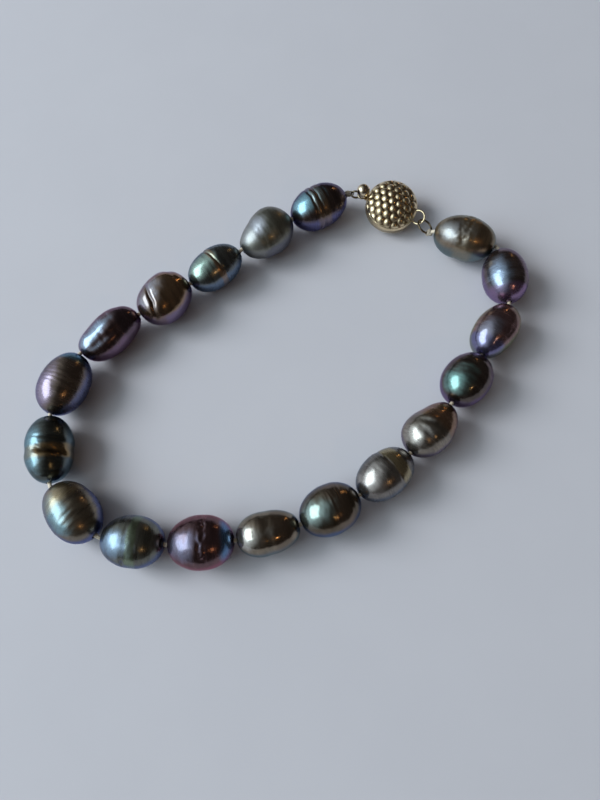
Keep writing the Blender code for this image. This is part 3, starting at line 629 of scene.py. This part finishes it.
def pearl_skin(number, row):
    """Points of a pearl's skin in its own frame: X to the wrist, Y up and Z along the strand."""
    ring_radius, ring_z, radius, half = turned_profile(row)
    turn = 2 * math.pi * np.arange(PEARL_STEPS) / PEARL_STEPS
    x = np.outer(ring_radius, np.cos(turn))
    y = np.outer(ring_radius, np.sin(turn))
    z = np.outer(ring_z, np.ones(PEARL_STEPS))
    along = z / half
    skin = np.clip((np.hypot(x, y) - BORE / 2) / (radius - BORE / 2), 0.0, None)
    groove = row.groove_depth * np.exp(-((along - row.groove_at) / GROOVE_WIDTH) ** 2)
    swell = 1 + skin * (row.taper * along - groove)
    rise = swell * (1 + skin * (row.height / row.width - 1))
    place = np.stack((x / radius, y / radius, along), axis=-1)

    flat = place.reshape(-1, 3)
    wave = noise_at(flat * (1.0, 1.0, 0.4), 2.4, number).reshape(x.shape)
    lumps = LUMPS.get(number, PLAIN_LUMPS) * noise_at(flat, 1.5, number + 0.5).reshape(x.shape)
    lumps += FINE_LUMPS * noise_at(flat * (1.0, 1.0, 2.0), 4.5, number + 0.2).reshape(x.shape)
    degrees = np.degrees(np.arctan2(y, x))
    dip = -lumps
    deep = np.zeros_like(x)
    for mark in MARKS.get(number, []):
        shape = mark_depth(mark, along, degrees, wave)
        dip += mark.depth * shape
        # Deep narrow marks get painted shade
        if mark.depth > DARK_DEPTH and mark.width < DARK_WIDTH:
            deep = np.maximum(deep, shape ** 2 * min(1.0, mark.depth / DARKEST_DEPTH))
    wrinkle = WRINKLES.get(number)
    if wrinkle:
        patch = mark_depth(Mark(wrinkle.at, wrinkle.angle, wrinkle.width, wrinkle.spread, 1.0, 0.0),
                           along, degrees, wave)
        fold = (wrinkle.crumple, wrinkle.crumple, 0.5 / wrinkle.pitch)
        ridges = noise_at(flat * fold, 2.0, number + 0.8).reshape(x.shape)
        dip += wrinkle.depth * patch * ridges * RIDGE_GAIN
    swell *= 1 - np.minimum(skin, 1.0) * dip
    rise *= 1 - np.minimum(skin, 1.0) * dip
    lean = skin * row.skew * radius * along
    return np.stack((x * swell + lean, y * rise, z), axis=-1).reshape(-1, 3), flat, deep.reshape(-1)


def build_pearl(number, row, near, far, material):
    points, place, deep = pearl_skin(number, row)
    rings = PEARL_RINGS + 1
    # The bore: a narrower ring a little inside each mouth, and straight between the two
    step_in = (0.0, 0.0, BORE_STEP_IN)
    inner = [points[-PEARL_STEPS:] * BORE_NARROWING - step_in,
             points[:PEARL_STEPS] * BORE_NARROWING + step_in]
    points = np.vstack([points] + inner)
    place = np.vstack([place, place[-PEARL_STEPS:], place[:PEARL_STEPS]])
    # The bore gets full painted shade
    deep = np.concatenate([deep, np.ones(2 * PEARL_STEPS)])
    faces = grid_faces(rings + 2, PEARL_STEPS, closed_rings=True)
    along = (far - near).normalized()
    inward = Vector((-along.y, along.x, 0.0))
    matrix = np.array(frame_matrix((near + far) / 2, inward, along))
    world = points @ matrix[:3, :3].T + matrix[:3, 3]
    name = f"nacre_pearl_{number:02d}"
    obj = new_piece(name, world, [face[::-1] for face in faces], material)
    make_outward(obj.data)
    store(obj.data, "place", place)
    store(obj.data, "deep", deep)
    return obj


def make_outward(mesh):
    shape = bmesh.new()
    shape.from_mesh(mesh)
    bmesh.ops.recalc_face_normals(shape, faces=shape.faces)
    shape.to_mesh(mesh)
    shape.free()


# Thread and knots

def swept(path, profile):
    """Rings of points along a path. profile gives the radii round each ring at a distance along it."""
    path = [Vector(point) for point in path]
    side = square_to(path[1] - path[0], UP if abs((path[1] - path[0]).normalized().z) < 0.9 else (1, 0, 0))
    rings, travelled = [], 0.0
    for i, point in enumerate(path):
        ahead = path[min(i + 1, len(path) - 1)] - path[max(i - 1, 0)]
        side = square_to(ahead, side)
        other = ahead.normalized().cross(side)
        travelled += (point - path[i - 1]).length if i else 0.0
        radii = profile(travelled)
        for step, radius in enumerate(radii):
            angle = 2 * math.pi * step / len(radii)
            rings.append(point + side * radius * math.cos(angle) + other * radius * math.sin(angle))
    return rings, len(path), len(radii)


def capped_tube(name, path, profile, material, sharp):
    """A tube along a path with flat ends."""
    points, rings, count = swept(path, profile)
    faces = grid_faces(rings, count)
    faces.append(tuple(range(count))[::-1])
    faces.append(tuple(range((rings - 1) * count, rings * count)))
    obj = new_piece(name, points, faces, material, sharp=sharp)
    make_outward(obj.data)
    return obj


def rope_mesh(name, path, diameter, material, plies=3, pitch=1.5 * MM, steps=18):
    """A twisted thread along a path."""
    core, lobes, roundness = 0.74, 0.26, 0.6

    def profile(travelled):
        twist = 2 * math.pi * travelled / pitch
        radii = []
        for step in range(steps):
            lobe = abs(math.sin(plies / 2 * (2 * math.pi * step / steps - twist)))
            radii.append(diameter / 2 * (core + lobes * lobe ** roundness))
        return radii
    return capped_tube(name, path, profile, material, 70)


def between(a, b, step):
    count = max(1, int((b - a).length / step))
    return [a.lerp(b, i / count) for i in range(count)]


def thread_path(mouths, left_knot, right_knot):
    """The thread's middle line, dense where it shows between the pearls."""
    fine, coarse, shown = 0.12 * MM, 1.2 * MM, 0.5 * MM
    path = between(left_knot, mouths[0][0], fine)
    for i, (near, far) in enumerate(mouths):
        way = (far - near).normalized()
        path += between(near, near + way * shown, fine)
        path += between(near + way * shown, far - way * shown, coarse)
        path += between(far - way * shown, far, fine)
        after = mouths[i + 1][0] if i + 1 < len(mouths) else right_knot
        path += between(far, after, fine)
    path.append(right_knot)
    return path


def knot_path(matrix, diameter, length, turns=72):
    """A trefoil round the thread, as an overhand knot pulled tight."""
    path = []
    for i in range(turns + 1):
        t = 2 * math.pi * i / turns
        x = (math.sin(t) + 2 * math.sin(2 * t)) / 3
        y = (math.cos(t) - 2 * math.cos(2 * t)) / 3
        z = -math.sin(3 * t)
        path.append(matrix @ Vector((x * diameter / 2, y * diameter / 2, z * length / 2)))
    return path


# Clasp

def clasp_frame():
    """The clasp's frame, from its stated back: X runs from the tongue to the case's ring."""
    back = next(mount for mount in frame["record"]["mounts"] if mount["name"] == "clasp_back")
    return (Matrix.Translation(back["pos_m"]) @ Matrix.Rotation(CLASP_TILT, 4, "X")
            @ Matrix.Rotation(CLASP_HEADING, 4, "Z"))


def dome_height(radius):
    return CASE_WALL_HEIGHT + DOME_RISE * (1 - (radius / CASE_RADIUS) ** 2)


def lattice(x, y):
    """The distance from each point to the nearest bump's middle, and that middle's distance out."""
    row_step = BUMP_PITCH * math.sqrt(3) / 2
    best = np.full_like(x, np.inf)
    out = np.zeros_like(x)
    base = np.round(y / row_step)
    for row in (base - 1, base, base + 1):
        shift = (row % 2) / 2
        column = np.round(x / BUMP_PITCH - shift)
        at_x, at_y = (column + shift) * BUMP_PITCH, row * row_step
        gap = np.hypot(x - at_x, y - at_y)
        out = np.where(gap < best, np.hypot(at_x, at_y), out)
        best = np.minimum(gap, best)
    return best, out


def dome_skin(turn):
    """The bumpy dome and its rounded rim, as x, y, z grids, and how deep each point lies."""
    rounding = np.linspace(0.3, math.pi / 2, RIM_ROUND_RINGS)
    inner_radii = np.linspace(DOME_POLE, CASE_RADIUS - RIM_ROUND, DOME_RINGS)
    radii = np.concatenate((inner_radii, CASE_RADIUS - RIM_ROUND * (1 - np.sin(rounding))))
    drop = np.concatenate((np.zeros(DOME_RINGS), RIM_ROUND * (1 - np.cos(rounding))))
    x, y = np.outer(radii, np.cos(turn)), np.outer(radii, np.sin(turn))
    z = np.repeat(dome_height(radii)[:, None], CASE_STEPS, axis=1) - drop[:, None]
    reach = np.hypot(x, y)
    gap, out = lattice(x, y)
    inside = np.clip(1 - (gap / BUMP_RADIUS) ** 2, 0.0, 1.0)
    held = 1 / (1 + np.exp((out - (CASE_RADIUS - BUMP_MARGIN)) / (0.03 * MM)))
    short_of_rim = np.clip((CASE_RADIUS - RIM_ROUND - reach) / (0.14 * MM), 0.0, 1.0)
    z = z + BUMP_RISE * inside * held * short_of_rim
    # The hollows between the bumps take the darker colour
    deep = np.clip(1 - inside * 1.7, 0.0, 1.0) * (reach < CASE_RADIUS - BUMP_MARGIN)
    return x, y, z, deep


def case_shell():
    """The case's outer skin: the dome, the wall with its bead, and the flat back."""
    turn = 2 * math.pi * np.arange(CASE_STEPS) / CASE_STEPS
    x, y, z, deep = dome_skin(turn)
    wall = [(CASE_RADIUS, CASE_WALL_HEIGHT - 0.35 * MM),
            (CASE_RADIUS + BEAD_DEPTH, CASE_WALL_HEIGHT - 0.42 * MM),
            (CASE_RADIUS + BEAD_DEPTH, CASE_WALL_HEIGHT - 0.55 * MM),
            (CASE_RADIUS, CASE_WALL_HEIGHT - 0.62 * MM),
            (CASE_RADIUS, 0.15 * MM),
            (CASE_RADIUS - 0.04 * MM, 0.04 * MM),
            (CASE_RADIUS - 0.15 * MM, 0.0),
            (CASE_RADIUS * 0.5, 0.0),
            (DOME_POLE, 0.0)]
    wall_radii, wall_heights = np.array(wall).T
    x = np.vstack((x, np.outer(wall_radii, np.cos(turn))))
    y = np.vstack((y, np.outer(wall_radii, np.sin(turn))))
    z = np.vstack((z, np.outer(wall_heights, np.ones(CASE_STEPS))))
    rings = len(x)
    faces = grid_faces(rings, CASE_STEPS)
    faces.append(tuple(range(CASE_STEPS)))
    faces.append(tuple(range((rings - 1) * CASE_STEPS, rings * CASE_STEPS)))
    deep = np.concatenate((deep.reshape(-1), np.zeros(len(wall) * CASE_STEPS)))
    return np.stack((x, y, z), axis=-1).reshape(-1, 3), faces, deep


def helper_mesh(name, build, matrix):
    """A helper for a Boolean, built in its own frame and then moved."""
    shape = bmesh.new()
    build(shape)
    shape.transform(matrix)
    bmesh.ops.recalc_face_normals(shape, faces=shape.faces)
    mesh = bpy.data.meshes.new(name)
    shape.to_mesh(mesh)
    shape.free()
    obj = bpy.data.objects.new(name, mesh)
    bpy.context.scene.collection.objects.link(obj)
    return obj


def torus_mesh(name, diameter, wire, matrix, steps=56, sides=18):
    def build(shape):
        ring_points = []
        for i in range(steps):
            a = 2 * math.pi * i / steps
            for j in range(sides):
                b = 2 * math.pi * j / sides
                r = diameter / 2 + wire / 2 * math.cos(b)
                spot = (r * math.cos(a), r * math.sin(a), wire / 2 * math.sin(b))
                ring_points.append(shape.verts.new(spot))
        for face in grid_faces(steps, sides, closed_rings=True):
            shape.faces.new([ring_points[i] for i in face])
    return helper_mesh(name, build, matrix)


def box_mesh(name, size, matrix, rounding=0.0):
    def build(shape):
        bmesh.ops.create_cube(shape, size=1.0, matrix=Matrix.Diagonal((*size, 1.0)))
        if rounding:
            bmesh.ops.bevel(shape, geom=shape.edges[:], offset=rounding, segments=3, affect="EDGES",
                            profile=0.5)
    return helper_mesh(name, build, matrix)


def combine(obj, helpers):
    """Joins or cuts an object with helpers, given as (helper, operation), and removes them."""
    for helper, operation in helpers:
        modifier = obj.modifiers.new(operation.title(), "BOOLEAN")
        modifier.operation = operation
        modifier.object = helper
        modifier.solver = "EXACT"
    bpy.context.view_layer.update()
    evaluated = obj.evaluated_get(bpy.context.evaluated_depsgraph_get())
    mesh = bpy.data.meshes.new_from_object(evaluated)
    old = obj.data
    obj.modifiers.clear()
    obj.data = mesh
    bpy.data.meshes.remove(old)
    for helper, _ in helpers:
        bpy.data.objects.remove(helper)
    return obj


def case_ring_frame(clasp):
    """The soldered ring's frame, from the same sizes as its solid."""
    face = Vector((0.0, -math.sin(RINGS_LEAN), math.cos(RINGS_LEAN)))
    along = square_to(face, (math.cos(LINK_HEADING), math.sin(LINK_HEADING), 0.0))
    normal = Matrix.Rotation(RINGS_TWIST, 3, along) @ face
    reach = CASE_RADIUS + CASE_RING_STAND_OFF
    middle = clasp @ Vector((reach, 0.0, CASE_WALL_HEIGHT - CASE_RING_DROP))
    return frame_matrix(middle, along, normal)


def hollow_shape(shape):
    """The room inside the case, one sheet in from the wall and the back, and clear of the bumps."""
    inner = CASE_RADIUS - SHEET
    roof_gap = 2.2 * SHEET
    profile = [(0.05 * MM, dome_height(0.0) - roof_gap),
               (inner * 0.5, dome_height(inner * 0.5) - roof_gap),
               (inner, dome_height(inner) - roof_gap),
               (inner, SHEET)]
    angles = [2 * math.pi * i / CAVITY_STEPS for i in range(CAVITY_STEPS)]
    rings = [[shape.verts.new((r * math.cos(a), r * math.sin(a), h)) for a in angles] for r, h in profile]
    for first, second in zip(rings, rings[1:]):
        for i in range(CAVITY_STEPS):
            after = (i + 1) % CAVITY_STEPS
            shape.faces.new((first[i], first[after], second[after], second[i]))
    shape.faces.new(rings[0])
    shape.faces.new(rings[-1])


def build_case(clasp, material):
    points, faces, deep = case_shell()
    case = new_piece("domed_case", points, faces, material, sharp=40)
    make_outward(case.data)
    store(case.data, "deep", deep)
    case.data.transform(clasp)
    cavity = helper_mesh("cavity", hollow_shape, clasp)
    slot_height = CASE_WALL_HEIGHT - 2 * SHEET
    slot = box_mesh("slot", (2 * SLOT_DEPTH, SLOT_WIDTH, slot_height),
                    clasp @ Matrix.Translation((-CASE_RADIUS, 0.0, SHEET + slot_height / 2)))
    ring = torus_mesh("soldered_ring", CASE_RING, WIRE, case_ring_frame(clasp))
    store(ring.data, "deep", np.full(len(ring.data.vertices), RING_DARKENING))
    return combine(case, [(cavity, "DIFFERENCE"), (slot, "DIFFERENCE"), (ring, "UNION")])


def build_tongue(clasp, material):
    """The folded leaf with its tab, the thumb ball on its neck, and the ring behind."""
    leaf_z = SHEET + SLOT_CLEARANCE
    ring_z = leaf_z + LEAF / 2
    ring_reach = CASE_RADIUS + TONGUE_RING / 2 + WIRE + SLOT_CLEARANCE
    top = CASE_WALL_HEIGHT - SHEET - SLOT_CLEARANCE
    fold, mouth = CASE_RADIUS * 0.6, CASE_RADIUS * 0.8
    width = SLOT_WIDTH - 4 * SLOT_CLEARANCE
    length = fold + LEAF + mouth
    middle_x = (fold + LEAF - mouth) / 2
    tab_start, tab_end = mouth - SLOT_DEPTH, ring_reach - TONGUE_RING / 2
    ball_at = Vector((-(CASE_RADIUS + BALL_STAND_OFF), 0.0, CASE_WALL_HEIGHT + BALL_RISE))
    neck_height = ball_at.z - ring_z
    neck_at = Vector((-(CASE_RADIUS + NECK_STAND_OFF), 0.0, ring_z + neck_height / 2))

    def neck_shape(shape):
        bmesh.ops.create_cone(shape, cap_ends=True, segments=32, radius1=NECK_DIAMETER / 2 * 1.15,
                              radius2=NECK_DIAMETER / 2, depth=neck_height)

    def ball_shape(shape):
        bmesh.ops.create_uvsphere(shape, u_segments=48, v_segments=28, radius=BALL_DIAMETER / 2)

    def moved(x, z):
        return clasp @ Matrix.Translation((x, 0.0, z))

    leaf_size = (length, width, LEAF)
    fold_size = (LEAF, width, top - leaf_z - LEAF * 0.2)
    tab_size = (tab_end - tab_start, TAB_WIDTH, LEAF * 1.04)
    leg = box_mesh("tongue_leg", leaf_size, moved(middle_x, ring_z), TONGUE_ROUNDING)
    tongue = piece_of("spring_tongue", leg.data, material, TONGUE_SHARP)
    bpy.data.objects.remove(leg)
    helpers = [
        box_mesh("upper", leaf_size, moved(middle_x, top - LEAF / 2), TONGUE_ROUNDING),
        box_mesh("fold", fold_size, moved(fold + LEAF / 2, (top + leaf_z) / 2), TONGUE_ROUNDING),
        box_mesh("tab", tab_size, moved(-(tab_start + tab_end) / 2, ring_z), TONGUE_ROUNDING),
        helper_mesh("neck", neck_shape, clasp @ Matrix.Translation(neck_at)),
        helper_mesh("ball", ball_shape, clasp @ Matrix.Translation(ball_at)),
        torus_mesh("tongue_ring", TONGUE_RING, WIRE, moved(-ring_reach, ring_z)),
    ]
    tongue = combine(tongue, [(helper, "UNION") for helper in helpers])
    tongue.data.shade_smooth()
    tongue.data.set_sharp_from_angle(angle=math.radians(TONGUE_SHARP))
    return tongue


JumpRing = namedtuple("JumpRing", "middle normal diameter")


def ring_frame(name):
    """The middle, the axis and the wire-to-wire diameter of a jump ring's solid."""
    points, _ = node_points(name)
    middle = points.mean(axis=0)
    normal = np.linalg.svd(points - middle, full_matrices=False)[2][2]
    flat = points - middle
    flat = flat - np.outer(flat @ normal, normal)
    reach = np.linalg.norm(flat, axis=1).max()
    return Vector(middle), Vector(normal), 2 * reach - WIRE


def build_jump_ring(name, solid, material, cut_heading):
    """A round wire ring, cut once where it closes, its ends a hair out of line, and its place."""
    middle, normal, diameter = ring_frame(solid)
    cut = square_to(normal, cut_heading)
    matrix = frame_matrix(middle, cut, normal)
    path = []
    for i in range(RING_STEPS + 1):
        angle = RING_GAP + (2 * math.pi - 2 * RING_GAP) * i / RING_STEPS
        lift = RING_MISFIT * (i / RING_STEPS - 0.5)
        spot = Vector((math.cos(angle) * diameter / 2, math.sin(angle) * diameter / 2, lift))
        path.append(matrix @ spot)
    ring = capped_tube(name, path, lambda travelled: [WIRE / 2] * 16, material, 45)
    return ring, JumpRing(middle, normal, diameter)


def build_end(side, mouth, ring, material):
    """The knot at one end of the thread, and its noose round the jump ring. Returns the knot's place."""
    outward = square_to(ring.normal, mouth - ring.middle)
    wire_at = ring.middle + outward * ring.diameter / 2
    to_mouth = (mouth - wire_at).normalized()
    knot_at = wire_at + to_mouth * KNOT_STAND_OFF
    matrix = frame_matrix(knot_at, ring.normal, to_mouth)
    knot = rope_mesh("knot_" + side, knot_path(matrix, KNOT_DIAMETER, KNOT_LENGTH), KNOT_STRAND, material,
                     plies=2, pitch=1.0 * MM, steps=14)
    settle(knot, "cream_silk")
    loop_frame = frame_matrix(wire_at, to_mouth, ring.normal.cross(outward))
    angles = [2 * math.pi * i / 40 for i in range(41)]
    loop = [loop_frame @ Vector((NOOSE_RADIUS * math.cos(a), NOOSE_RADIUS * math.sin(a), 0.0))
            for a in angles]
    noose = rope_mesh("noose_" + side, loop, NOOSE_STRAND, material, plies=2, pitch=0.8 * MM, steps=12)
    settle(noose, "cream_silk")
    return knot_at


# Stage

def build_light(light):
    data = bpy.data.lights.new(light.name, "AREA")
    data.shape = "RECTANGLE"
    data.size, data.size_y = light.size
    data.energy = light.power
    data.color = light.colour
    data.diffuse_factor = light.diffuse
    obj = bpy.data.objects.new(light.name, data)
    bpy.context.scene.collection.objects.link(obj)
    obj.location = Vector(light.way).normalized() * light.distance
    obj.rotation_euler = (-obj.location).to_track_quat("-Z", "Y").to_euler()
    obj.visible_camera = False
    obj.visible_glossy = light.in_gloss


def build_world():
    """A dim world, bright on one side, and plain and pale where the camera sees past the floor."""
    world = bpy.data.worlds.new("room")
    bpy.context.scene.world = world
    world.use_nodes = True
    tree = world.node_tree
    background = tree.nodes["Background"]
    way = add(tree, "ShaderNodeTexCoord").outputs["Generated"]
    towards = dot(tree, way, Vector(BRIGHT_SIDE).normalized())
    mirrored = mix(tree, ramp(tree, towards, *WORLD_RAMP), WORLD_DARK, WORLD_BRIGHT)
    seen = add(tree, "ShaderNodeLightPath").outputs["Is Camera Ray"]
    put(tree, background.inputs["Color"], mix(tree, seen, mirrored, WORLD_SEEN))
    background.inputs["Strength"].default_value = 1.0


def build_camera():
    data = bpy.data.cameras.new("camera")
    data.lens = CAMERA_LENS
    data.sensor_width = CAMERA_SENSOR
    data.sensor_height = CAMERA_SENSOR
    data.clip_start = 5 * MM
    data.clip_end = 20.0
    camera = bpy.data.objects.new("camera", data)
    bpy.context.scene.collection.objects.link(camera)
    back = -CAMERA_FORWARD.normalized()
    right = square_to(back, CAMERA_RIGHT)
    turn = Matrix((right, back.cross(right), back)).transposed().to_4x4()
    camera.matrix_world = Matrix.Translation(CAMERA_AT) @ turn
    bpy.context.scene.camera = camera


def build_floor():
    side = FLOOR_SIDE
    points = [(-side, -side, 0.0), (side, -side, 0.0), (side, side, 0.0), (-side, side, 0.0)]
    floor = new_piece("floor", points, [(0, 1, 2, 3)], floor_material())
    floor.location.z = -FLOOR_DROP


def settle(piece, slot, *nodes):
    """A piece stands for its solids and moves with the one body. Its slot is not used."""
    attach(piece, "root")
    if nodes:
        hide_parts(*nodes)


def build_pearls(mouths):
    slots = {row["node"]: row["material_slot"] for row in frame["record"]["subparts"]}
    for i, (row, look, (near, far)) in enumerate(zip(PEARLS, LOOKS, mouths)):
        solid = f"pearl_{i + 1:02d}"
        pearl = build_pearl(i + 1, row, near, far, pearl_material(i + 1, look))
        settle(pearl, slots[solid], solid)


def build_metal():
    """The clasp and its two jump rings. Returns the rings' places."""
    case_gold = gold_material("case_gold", (0.86, 0.70, 0.45), (0.13, 0.075, 0.035), 0.19)
    plain_gold = gold_material("plain_gold", (0.83, 0.69, 0.50), (0.30, 0.20, 0.12), 0.14)
    wire_gold = gold_material("wire_gold", (0.22, 0.17, 0.11), (0.20, 0.14, 0.09), 0.22)
    clasp = clasp_frame()
    settle(build_case(clasp, case_gold), "champagne_gold", "clasp_case")
    settle(build_tongue(clasp, plain_gold), "champagne_gold", "clasp_tongue")
    left, left_place = build_jump_ring("link_left", "jump_ring_left", wire_gold, (1.0, 0.3, -0.4))
    right, right_place = build_jump_ring("link_right", "jump_ring_right", wire_gold, (-0.2, -1.0, 0.0))
    settle(left, "champagne_gold", "jump_ring_left")
    settle(right, "champagne_gold", "jump_ring_right")
    return left_place, right_place


def main():
    bpy.context.scene.view_settings.view_transform = "Standard"
    build_camera()
    build_floor()
    build_world()
    for light in LIGHTS:
        build_light(light)
    mouths = all_mouths()
    build_pearls(mouths)
    left_ring, right_ring = build_metal()
    silk = silk_material("twisted_silk", 1.0)
    # The knots' silk is darker: partly their own tan, partly painted shade
    tan_shaded_knot_silk = silk_material("knot_silk_tan_painted_shade", 0.45)
    first_knot = build_end("left", mouths[0][0], left_ring, tan_shaded_knot_silk)
    last_knot = build_end("right", mouths[-1][1], right_ring, tan_shaded_knot_silk)
    thread = rope_mesh("silk_strand", thread_path(mouths, first_knot, last_knot), THREAD, silk)
    settle(thread, "cream_silk", "silk_thread")


main()
